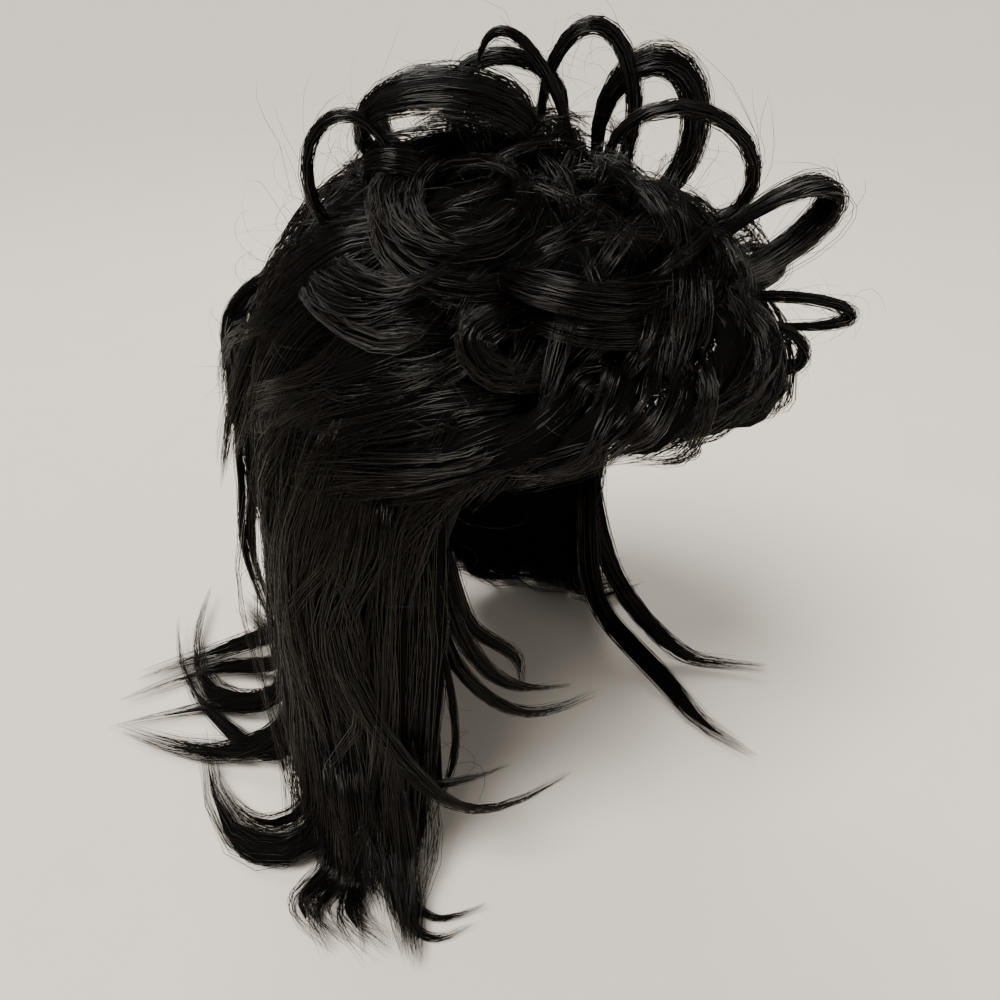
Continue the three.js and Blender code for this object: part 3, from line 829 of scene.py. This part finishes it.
# Teased fibre under the strands: the same dye, made darker as painted shade for the hair in shadow inside the
# mass, matt, with a fine uneven streak
underhair_painted_shade, tree = new_material("teased_fibre_painted_shade")
place = add_node(tree, "ShaderNodeTexCoord")
streak = add_node(tree, "ShaderNodeTexNoise", None,
                  {"Vector": place.outputs["Object"], "Scale": 1 / (TEASE_GRAIN * MM), "Detail": 4.0})
shade = blend(tree, streak.outputs["Fac"], FIBRE_BLACK, PAINTED_SHADE_BROWN)
tease = add_node(tree, "ShaderNodeBump", None,
                 {"Height": streak.outputs["Fac"], "Strength": 0.6, "Distance": TEASE_RELIEF * MM})
under_skin = add_node(tree, "ShaderNodeBsdfPrincipled", None,
                      {"Base Color": shade, "Normal": tease.outputs["Normal"],
                       "Roughness": 0.8, "Specular IOR Level": 0.04})
finish_material(tree, under_skin)

rng = np.random.default_rng(CROWN_SEED)
crown_comb = comb((-180, 180), (2, 46), sweep=52, length=20, top=crown_top, count=90, rng=rng)
crown_fill = wave_arcs((-130, 105), (4, 56), top=crown_top, count=54, rng=rng)
from_swirl = np.abs(crown_fill[:, :2] - np.array([SWIRL_TURN, SWIRL_DOWN])) / SWIRL_SPAN
crown_fill = crown_fill[np.max(from_swirl, 1) > 1]
crown_curls = curl_locks(CROWN_CURLS)
crown_arcs = curl_locks(crown_fill)
crown_groups = [
    grow_strands(crown_curls, curl_counts(crown_curls), rng, points=16, **CURLED),
    grow_strands(crown_arcs, strand_counts(crown_arcs, density=2.1), rng, points=8, **COMBED),
    grow_comb(laid_locks(crown_comb, COMB_FLAT), rng),
    grow_strays(stray_curls((-180, 180), (5, 60), top=crown_top, count=280, rng=rng), rng),
    grow_strays(flyaways(crown_curls, count=150, rng=rng), rng),
]
crown_shells = [
    core_patch((-180, 180), CROWN_TOP, level_hem(CROWN_EDGE), crown_top, flat_foot, cells=(72, 16)),
    core_of_locks(crown_curls, **LOOP_CORE),
]
dress("crown_curl", "crown_curls", crown_groups, crown_shells)

# Front fringe: hair combed up at the front, forward loops, and locks that arc over the front edge and curl
# toward the temple. Fibre bundles laid one over the other and set with heat.
FRINGE_CURLS = np.array([
    # turn, down, out, toward, rise, heading, start, sweep, tall, wide, band, depth
    (-40, 62, 34, -25, 80, -25, 30, 290, 54, 38, 16, 10),
    (-13, 67, 34, -25, 76, -25, 20, 310, 44, 56, 9, 5),
    (-6, 80, 30, -25, 36, -25, 10, 320, 54, 20, 24, 5),
    (-6, 90, 30, -25, -4, -25, 10, 320, 50, 12, 6, 4),
    (-3, 98, 24, -25, -10, -25, 10, 320, 34, 20, 8, 4),
    (4, 101, 20, -25, -20, -25, 10, 320, 32, 18, 8, 4),
    (-34, 92, 26, -40, 4, -40, 10, 320, 36, 18, 10, 4),
], float)
FRINGE_LOCKS = np.array([
    # turn, down, out of the root, of two stations and of the tip, then band
    (49, 98, 34, 57, 107, 38, 65, 114, 32, 76, 119, 26, 10),
    (37, 92, 34, 46, 106, 42, 55, 114, 34, 69, 120, 26, 10),
    (27, 90, 34, 33, 104, 44, 39, 114, 38, 47, 117, 30, 8),
    (4, 70, 26, 14, 98, 40, 32, 110, 32, 50, 114, 18, 12),
    (-6, 74, 26, 2, 102, 40, 20, 114, 32, 40, 115, 18, 10),
    (-16, 78, 26, -10, 106, 40, 4, 119, 34, 22, 119, 22, 10),
    (-28, 78, 26, -24, 106, 38, -14, 123, 36, 0, 126, 26, 10),
    (-40, 76, 26, -40, 106, 36, -34, 126, 34, -20, 131, 26, 10),
], float)
FRINGE_SWOOPS = np.array([
    # turn, down, out of the root, of two stations and of the tip, then band
    (63, 67, 34, 52, 76, 44, 36, 80, 46, 7, 71, 42, 14),
    (60, 77, 32, 48, 86, 42, 31, 88, 44, 7, 80, 40, 10),
    (60, 77, 36, 69, 86, 42, 65, 95, 40, 52, 96, 40, 12),
], float)
FRINGE_LOFT = np.array([
    # down, out
    (58, 34),
    (84, 36),
    (104, 12),
], float)
FRINGE_TURN = 50.0
FRINGE_HEM = 103.0
FRINGE_BACKING = 1.6
FRINGE_LEAST = 2.0
FRINGE_SEED = 12
LOCK_FLAT = 0.55


def fringe_top(turn, down):
    """Outer face of the teased front, no thinner than a least thickness."""
    lofted = read_table(FRINGE_LOFT, down) + quiff(turn, down) - CORE_SINK
    return np.maximum(lofted, HAIR_FOOT + FRINGE_LEAST)


rng = np.random.default_rng(FRINGE_SEED)
fringe_fill = between_rows(FRINGE_LOCKS, 38, rng, spread=(5, 4, 4), band=(5, 10))
fringe_comb = comb((-54, 36), (54, 90), sweep=32, length=24, top=fringe_top, count=64, rng=rng)
fringe_arcs = curl_locks(wave_arcs((-48, 48), (62, 96), top=fringe_top, count=26, rng=rng))
fringe_loops = curl_locks(FRINGE_CURLS)
fringe_locks = laid_locks(np.concatenate([FRINGE_LOCKS, FRINGE_SWOOPS, fringe_fill]), LOCK_FLAT)
arched = slice(0, len(FRINGE_LOCKS))
swept = slice(len(FRINGE_LOCKS), len(FRINGE_LOCKS) + len(FRINGE_SWOOPS))
fringe_counts = strand_counts(fringe_locks, density=3.2)
fringe_counts[swept] *= 2
fringe_groups = [
    grow_strands(fringe_loops, curl_counts(fringe_loops), rng, points=15, **CURLED),
    grow_strands(fringe_arcs, strand_counts(fringe_arcs, density=2.2), rng, points=9, **COMBED),
    grow_strands(fringe_locks, fringe_counts, rng, points=9, tip=0.4, loose=0.8, ragged=0.3),
    grow_comb(laid_locks(fringe_comb, COMB_FLAT), rng),
    grow_strays(stray_curls((-50, 60), (60, 110), top=fringe_top, count=150, rng=rng), rng),
    grow_strays(flyaways(fringe_loops, count=120, rng=rng), rng),
]
arch_path, arch_across, arch_band, arch_depth = pick(fringe_locks, arched)
arch_backing = (arch_path, arch_across, FRINGE_BACKING * arch_band, arch_depth)
fringe_shells = [
    core_patch((-FRINGE_TURN, FRINGE_TURN), CROWN_EDGE, level_hem(FRINGE_HEM), fringe_top, flat_foot,
               cells=(32, 14)),
    core_of_locks(fringe_loops, **LOOP_CORE),
    core_of_locks(arch_backing, tip=0.4, reach=0.9, thin=0.75, fill=LOOP_FILL),
    core_of_locks(pick(fringe_locks, swept), tip=0.4),
]
dress("front_fringe", "front_fringe", fringe_groups, fringe_shells)

# Side waves: layered locks swept back and down from the temple over each ear, with ends that flick
# outward. Fibre bundles over teased hair; the left side mirrors the right.
SIDE_WAVES = np.array([
    # turn, down, out of the root, of two stations and of the tip, then band
    (95, 53, 26, 110, 65, 33, 121, 86, 32, 125, 109, 30, 18),
    (97, 64, 26, 108, 87, 32, 118, 110, 28, 126, 135, 24, 18),
    (75, 83, 27, 88, 93, 34, 101, 103, 33, 118, 120, 32, 16),
    (70, 91, 27, 83, 100, 33, 95, 109, 32, 107, 121, 34, 15),
    (61, 99, 26, 74, 104, 32, 85, 110, 32, 104, 124, 33, 15),
    (54, 104, 25, 66, 111, 32, 80, 118, 31, 104, 133, 32, 14),
    (57, 111, 22, 69, 117, 28, 83, 125, 28, 102, 142, 29, 13),
], float)
SIDE_SMILES = np.array([
    # turn, down, out of the root, of two stations and of the tip, then band
    (128, 66, 21, 105, 79, 36, 90, 81, 37, 75, 71, 34, 14),
    (126, 60, 21, 102, 73, 36, 87, 75, 38, 74, 64, 36, 12),
], float)
SIDE_FLICKS = np.array([
    # turn, down, out of the root, of two stations and of the tip, then band
    (116, 64, 26, 122, 90, 30, 125, 122, 30, 129, 153, 33, 14),
    (143, 78, 24, 148, 103, 31, 133, 122, 27, 129, 150, 32, 10),
    (142, 78, 20, 147, 103, 27, 132, 122, 24, 128, 150, 28, 9),
], float)
SIDE_LOFT = np.array([
    # down, out
    (58, 31),
    (90, 28),
    (120, 22),
    (142, 8),
], float)
SIDE_HEM = 142.0
SIDE_SWAY = 2.0
SIDE_SEED = 13
TEMPLE_HEM = 98.0
EAR_HEM = 134.0
TEMPLE_TO_EAR = (58, 84)
LEAST_WALL = 1.5
BACK_TURN = 132.0
SIDES = [
    # name, mirror sign, filling locks, combed locks, stray hairs, strands for each millimetre of band
    ("right", 1, 40, 96, 180, 3.8),
    ("left", -1, 20, 60, 90, 2.3),
]
MIRROR_TURN = np.array([1, 0, 0] * 4 + [0], bool)


def mirrored(rows, sign):
    """Rows of laid locks with every turn on the side that the sign gives."""
    return np.where(MIRROR_TURN, sign * rows, rows)


def side_top(turn, down):
    """Outer face of the teased side."""
    lofted = read_table(SIDE_LOFT, down) + quiff(turn, down) - CORE_SINK
    return np.maximum(lofted, HAIR_FOOT + LEAST_WALL)


def side_hem(turn):
    """Hem of the teased side: level with the fringe at the temple, lower over the ear."""
    return TEMPLE_HEM + (EAR_HEM - TEMPLE_HEM) * ease(np.abs(turn), *TEMPLE_TO_EAR)


rng = np.random.default_rng(SIDE_SEED)
for side, sign, filling, combed, strays, density in SIDES:
    side_comb = comb((FRINGE_TURN - 4, BACK_TURN - 18), (52, 96), sweep=26, length=42, top=side_top,
                     count=combed, rng=rng)
    side_rows = np.concatenate([
        SIDE_WAVES,
        SIDE_SMILES,
        SIDE_FLICKS,
        between_rows(SIDE_SMILES, 4, rng, spread=(5, 5, 2), band=(5, 8)),
        between_rows(SIDE_WAVES, filling, rng, spread=(5, 5, 3), band=(6, 12)),
    ])
    side_locks = sway(laid_locks(mirrored(side_rows, sign), LOCK_FLAT), SIDE_SWAY, rng)
    stray_turns = np.sort([sign * 50, sign * 130])
    side_groups = [
        grow_strands(side_locks, strand_counts(side_locks, density), rng, points=9,
                     tip=0.4, loose=0.7, ragged=0.3),
        grow_comb(laid_locks(mirrored(side_comb, sign), COMB_FLAT), rng),
        grow_strays(stray_curls(stray_turns, (60, 130), top=side_top, count=strays, rng=rng), rng),
    ]
    side_turns = np.sort([sign * FRINGE_TURN, sign * BACK_TURN])
    shown = slice(0, len(SIDE_WAVES) + len(SIDE_SMILES) + len(SIDE_FLICKS))
    side_shells = [
        core_patch(side_turns, CROWN_EDGE, side_hem, side_top, flat_foot, cells=(32, 22)),
        core_of_locks(pick(side_locks, shown), tip=0.4, reach=0.86, thin=0.6, fill=LOOP_FILL),
    ]
    dress(side + "_side_wave", side + "_side_waves", side_groups, side_shells)

# Back fall: the long hair down the back, hung close in, with ends that flick out and lie fanned
# over the surface. Fibre bundles hung from the cap's back, the undermost hair plain.
BACK_LOCKS = np.array([
    # turn, down, out of the root, of two stations and of the tip, then band
    (134, 62, 24, 135, 112, 17, 136, 212, 8, 138, 314, 18, 18),
    (162, 62, 24, 162, 112, 17, 164, 212, 7, 165, 316, 24, 20),
    (198, 62, 24, 198, 112, 17, 196, 212, 7, 195, 316, 24, 20),
    (226, 62, 24, 225, 112, 17, 224, 212, 8, 222, 314, 18, 18),
], float)
BACK_ENDS = np.array([
    # turn, down, out of the root, of two stations and of the tip, then band
    (130, 190, 4, 130, 284, 15, 137, 318, 50, 149, 320, 108, 15),
    (146, 190, 4, 147, 290, 13, 152, 318, 56, 148, 320, 114, 10),
    (158, 190, 4, 160, 290, 13, 164, 317, 60, 154, 320, 111, 12),
    (172, 190, 4, 176, 284, 16, 171, 316, 62, 160, 320, 109, 18),
    (178, 190, 4, 180, 262, 12, 182, 317, 44, 187, 321, 80, 14),
    (190, 190, 4, 190, 262, 12, 190, 316, 48, 191, 321, 92, 16),
    (198, 190, 4, 198, 262, 12, 197, 316, 44, 193, 321, 80, 14),
    (206, 190, 4, 206, 262, 12, 204, 316, 48, 203, 321, 90, 20),
    (216, 190, 4, 216, 262, 12, 214, 314, 42, 212, 321, 80, 18),
    (224, 190, 4, 225, 262, 12, 223, 314, 40, 222, 321, 76, 16),
    (146, 190, 4, 148, 296, 15, 156, 318, 58, 187, 316, 110, 16),
    (126, 200, 4, 126, 302, 23, 149, 319, 56, 178, 316, 108, 10),
], float)
BACK_FAN = slice(4, 10)
BACK_LOFT = np.array([
    # down, out
    (58, 30),
    (84, 26),
    (104, 24),
    (120, 19),
    (135, 14),
    (160, 9),
    (230, 8),
    (270, 7),
], float)
BACK_HEM = 270.0
BACK_SWAY = 4.0
BACK_INSET = 1.5
BACK_SEED = 14
LINING_SINK = 0.5
INSET_EASE = 50.0
BROAD_RAG = 8.0
BROAD_BEATS = 19
FINE_RAG = 6.0
FINE_BEATS = 47


def back_foot(turn, down):
    """Inner face of the back hair, which leaves the cap and hangs close in."""
    return HAIR_FOOT + BACK_INSET * ease(down, SIDE_HEM, SIDE_HEM + INSET_EASE)


def back_top(turn, down):
    """Outer face of the back hair under its locks."""
    return np.maximum(read_table(BACK_LOFT, down) - CORE_SINK, back_foot(turn, down) + LEAST_WALL)


def nape_top(turn, down):
    """Outer face from the crown on down the back."""
    return np.where(down < CROWN_EDGE, crown_top(turn, down), back_top(turn, down))


def back_lining(turn, down):
    """Inner face of the back hair, where its undermost strands hang."""
    return back_foot(turn, down) - CORE_SINK - LINING_SINK


def back_hem(turn):
    """Hem of the back hair under its locks: a ragged edge, two sines along the turn."""
    broad = BROAD_RAG * np.sin(np.radians(BROAD_BEATS * turn))
    fine = FINE_RAG * np.sin(np.radians(FINE_BEATS * turn))
    return BACK_HEM + broad + fine


rng = np.random.default_rng(BACK_SEED)
back_rows = np.concatenate([
    BACK_LOCKS,
    between_rows(BACK_LOCKS, 24, rng, spread=(4, 12, 2), band=(10, 16)),
    between_rows(BACK_ENDS[BACK_FAN], 22, rng, spread=(4, 4, 6), band=(5, 9)),
])
back_comb = np.concatenate([
    between_rows(BACK_LOCKS, 70, rng, spread=(3, 12, 1), band=COMB_BAND),
    comb((124, 236), (20, 76), sweep=0, length=58, top=nape_top, count=70, rng=rng),
    comb((136, 224), (212, 228), sweep=0, length=56, top=back_lining, count=34, rng=rng),
])
back_locks = laid_locks(back_rows, LOCK_FLAT)
back_ends = laid_locks(BACK_ENDS, LOCK_FLAT)
back_combed = sway(laid_locks(back_comb, COMB_FLAT), BACK_SWAY, rng)
back_groups = [
    grow_strands(back_locks, strand_counts(back_locks, density=2.2), rng, points=9, tip=0.45, loose=0.4),
    grow_strands(back_ends, strand_counts(back_ends, density=3.7), rng, points=10, loose=0.35, ragged=0.2),
    grow_comb(back_combed, rng, strands=6, points=8),
    grow_strays(stray_curls((140, 220), (60, 240), top=back_top, count=80, rng=rng), rng),
]
back_shells = [
    core_patch((BACK_TURN, 360 - BACK_TURN), CROWN_EDGE, back_hem, back_top, back_foot, cells=(49, 36)),
    core_of_locks(pick(back_locks, slice(0, len(BACK_LOCKS))), tip=0.4),
    core_of_locks(back_ends, reach=0.86, thin=0.6, fill=LOOP_FILL),
]
dress("back_fall", "back_fall", back_groups, back_shells)

# Side falls: the long straight hair at each side, with flicked ends on the surface and a few loose ends
# curling forward. Fibre bundles hung from the cap over the ears.
FALL_LOCKS = np.array([
    # turn, down, out of the root, of two stations and of the tip, then band
    (79, 124, 14, 80, 200, 21, 85, 296, 24, 78, 321, 73, 18),
    (84, 122, 17, 86, 200, 25, 89, 296, 27, 80, 321, 70, 22),
    (92, 122, 17, 95, 206, 27, 95, 296, 30, 84, 321, 62, 22),
    (101, 122, 17, 104, 214, 28, 101, 296, 32, 88, 321, 50, 22),
    (110, 122, 17, 113, 220, 27, 110, 298, 30, 94, 321, 46, 22),
    (116, 122, 17, 116, 220, 21, 115, 300, 24, 98, 321, 44, 20),
    (112, 148, 9, 103, 292, 33, 113, 320, 62, 145, 320, 59, 18),
    (125, 148, 9, 123, 220, 15, 129, 304, 20, 148, 320, 100, 16),
], float)
FALL_DRAPES = np.array([
    # turn, down, out of the root, of two stations and of the tip, then band
    (79, 117, 24, 84, 151, 28, 87, 197, 30, 85, 275, 31, 11),
    (86, 116, 26, 93, 154, 32, 96, 204, 33, 92, 274, 32, 13),
    (95, 114, 27, 102, 159, 33, 104, 212, 34, 103, 284, 31, 15),
    (100, 112, 27, 111, 163, 28, 110, 213, 28, 111, 275, 26, 13),
    (112, 88, 26, 116, 136, 22, 119, 191, 20, 117, 262, 20, 14),
    (116, 118, 30, 115, 158, 27, 115, 200, 25, 110, 236, 23, 7),
], float)
FALL_TURNS = np.array([
    # turn, down, out of the root, of two stations and of the tip, then band
    (58, 112, 20, 72, 121, 25, 84, 148, 26, 86, 204, 27, 10),
    (64, 104, 23, 80, 113, 27, 93, 138, 29, 98, 196, 30, 12),
    (72, 98, 25, 88, 108, 29, 101, 134, 30, 106, 192, 30, 13),
    (80, 92, 26, 97, 104, 30, 107, 132, 30, 110, 190, 27, 13),
    (90, 84, 27, 104, 100, 31, 112, 130, 29, 113, 188, 25, 13),
], float)
FALL_BRUSH = np.array([
    # turn, down, out of the root, of two stations and of the tip, then band
    (104, 262, 31, 99, 316, 44, 98, 321, 68, 86, 321, 80, 14),
    (101, 262, 31, 96, 316, 45, 95, 321, 66, 88, 321, 78, 12),
    (98, 264, 31, 93, 316, 45, 90, 321, 62, 80, 321, 75, 14),
    (92, 266, 28, 87, 314, 38, 82, 321, 55, 77, 321, 77, 13),
    (87, 266, 27, 83, 314, 37, 79, 321, 57, 76, 321, 76, 10),
    (114, 210, 22, 107, 288, 30, 116, 320, 51, 141, 321, 60, 11),
], float)
RIGHT_ENDS = np.array([
    # turn, down, out of the root, of two stations and of the tip, then band
    (76, 150, 16, 72, 184, 14, 62, 204, 9, 60, 226, 6, 8),
    (77, 160, 16, 72, 198, 13, 62, 221, 8, 46, 225, 5, 9),
    (79, 176, 16, 74, 212, 12, 60, 236, 8, 38, 231, 5, 8),
    (99, 151, 28, 90, 218, 37, 73, 277, 26, 46, 271, 10, 15),
    (84, 240, 26, 81, 264, 27, 72, 264, 21, 62, 257, 16, 5),
    (77, 190, 20, 75, 225, 20, 76, 262, 18, 83, 310, 22, 4),
    (133, 108, 19, 137, 156, 17, 141, 207, 21, 133, 264, 10, 9),
    (133, 108, 23, 137, 156, 21, 141, 207, 24, 134, 268, 13, 9),
    (94, 284, 26, 86, 317, 38, 77, 322, 50, 67, 321, 40, 5),
    (93, 286, 28, 86, 318, 44, 77, 322, 60, 69, 321, 49, 5),
], float)
LEFT_ENDS = np.array([
    # turn, down, out of the root, of two stations and of the tip, then band
    (-82, 190, 12, -70, 270, 14, -50, 316, 34, -39, 319, 76, 16),
    (-80, 200, 11, -69, 294, 6, -28, 317, 17, -11, 319, 51, 16),
], float)
FALL_LOFT = np.array([
    # down, out
    (142, 11),
    (200, 19),
    (240, 18),
    (266, 13),
], float)
FALL_TOP = 136.0
FALL_FRONT = 80.0
FALL_EDGE = 79.0
FALL_REAR = 108.0
FALL_LAP = 3.0
FALL_THIN = 0.6
FALL_HEM = 284.0
FALL_INSET = 6.0
FALL_SWAY = 6.0
FALL_SEED = 15
END_DEPTH = 3.6
BRUSH_FLAT = 0.5
BRUSH_SHARE = 1.1
FALL_HALVES = [slice(0, 4), slice(3, 6)]
FALLS = [
    # name, mirror sign, loose ends, filling locks, combed locks, combed rear locks, stray hairs,
    # strands for each millimetre of band
    ("right", 1, RIGHT_ENDS, 7, 42, 12, 110, 3.4),
    ("left", -1, LEFT_ENDS, 3, 22, 12, 60, 1.7),
]


def hung_foot(turn, down):
    """Inner face of hair that leaves the cap over the ear and hangs."""
    return HAIR_FOOT + FALL_INSET * ease(down, SIDE_HEM, SIDE_HEM + INSET_EASE)


def fall_top(turn, down):
    """Outer face of a side fall under its locks, thinner toward its rear edge."""
    thinned = 1 - FALL_THIN * ease(np.abs(turn), FALL_REAR, BACK_TURN)
    return np.maximum(read_table(FALL_LOFT, down) * thinned - CORE_SINK, hung_foot(turn, down) + LEAST_WALL)


def fall_foot(turn, down):
    """Inner face of a side fall, drawn in to meet the back hair's at its rear edge."""
    inset = hung_foot(turn, down)
    return inset + (back_foot(turn, down) - inset) * ease(np.abs(turn), FALL_REAR, BACK_TURN)


def fall_hem(turn):
    """Hem of a side fall under its locks, half as ragged as the back's."""
    return FALL_HEM + (back_hem(turn) - BACK_HEM) / 2


rng = np.random.default_rng(FALL_SEED)
behind_edge = np.where(MIRROR_TURN, FALL_EDGE, -np.inf)
for side, sign, ends, filling, combed, combed_rear, strays, density in FALLS:
    fall_fill = [between_rows(FALL_LOCKS[half], filling, rng, spread=(4, 8, 5), band=(7, 13))
                 for half in FALL_HALVES]
    drape_fill = between_rows(FALL_DRAPES, 2 * filling, rng, spread=(5, 8, 3), band=(5, 10))
    turn_fill = between_rows(FALL_TURNS, 2 * filling, rng, spread=(5, 7, 3), band=(4, 9))
    fall_comb = [between_rows(FALL_LOCKS[half], combed, rng, spread=(6, 9, 4), band=COMB_BAND)
                 for half in FALL_HALVES]
    fall_comb.append(comb((110, BACK_TURN - 4), (140, 196), sweep=4, length=90, top=fall_top,
                          count=combed_rear, rng=rng))
    fall_fill = np.maximum(np.concatenate(fall_fill), behind_edge)
    fall_comb = np.maximum(np.concatenate(fall_comb), behind_edge)
    layer_rows = np.concatenate([FALL_DRAPES, FALL_TURNS, turn_fill, drape_fill, fall_fill])
    end_path, end_across, end_band, _ = laid_locks(ends, LOCK_FLAT)
    loose_ends = (end_path, end_across, end_band, np.full(len(ends), END_DEPTH))
    fall_locks = laid_locks(mirrored(FALL_LOCKS, sign), LOCK_FLAT)
    layers = sway(laid_locks(mirrored(layer_rows, sign), LOCK_FLAT), FALL_SWAY, rng)
    fall_combed = sway(laid_locks(mirrored(fall_comb, sign), COMB_FLAT), FALL_SWAY, rng)
    brush = laid_locks(mirrored(FALL_BRUSH, sign), BRUSH_FLAT)
    stray_turns = np.sort([sign * 76, sign * 122])
    fall_groups = [
        grow_strands(loose_ends, strand_counts(loose_ends, density=4.2), rng, points=11,
                     tip=0.4, ragged=0.22),
        grow_strands(fall_locks, strand_counts(fall_locks, density), rng, points=10,
                     tip=0.5, loose=0.4, ragged=0.18, frizz=0.9),
        grow_strands(layers, strand_counts(layers, density), rng, points=10, loose=0.6, frizz=0.9),
        grow_comb(fall_combed, rng, points=8, frizz=1.2),
        grow_strands(brush, strand_counts(brush, BRUSH_SHARE * density), rng, points=10,
                     tip=0.9, ragged=0.3),
        grow_strays(stray_curls(stray_turns, (150, 290), top=fall_top, count=strays, rng=rng), rng),
    ]
    fall_turns = np.sort([sign * FALL_FRONT, sign * (BACK_TURN + FALL_LAP)])
    fall_shells = [
        core_patch(fall_turns, FALL_TOP, fall_hem, fall_top, fall_foot, cells=(29, 26)),
        core_of_locks(loose_ends, tip=0.4, reach=0.86, thin=0.6, fill=LOOP_FILL),
        core_of_locks(fall_locks, tip=0.5, reach=0.88, thin=0.7, fill=LOOP_FILL),
        core_of_locks(brush, tip=0.6),
    ]
    dress(side + "_fall", side + "_fall", fall_groups, fall_shells)
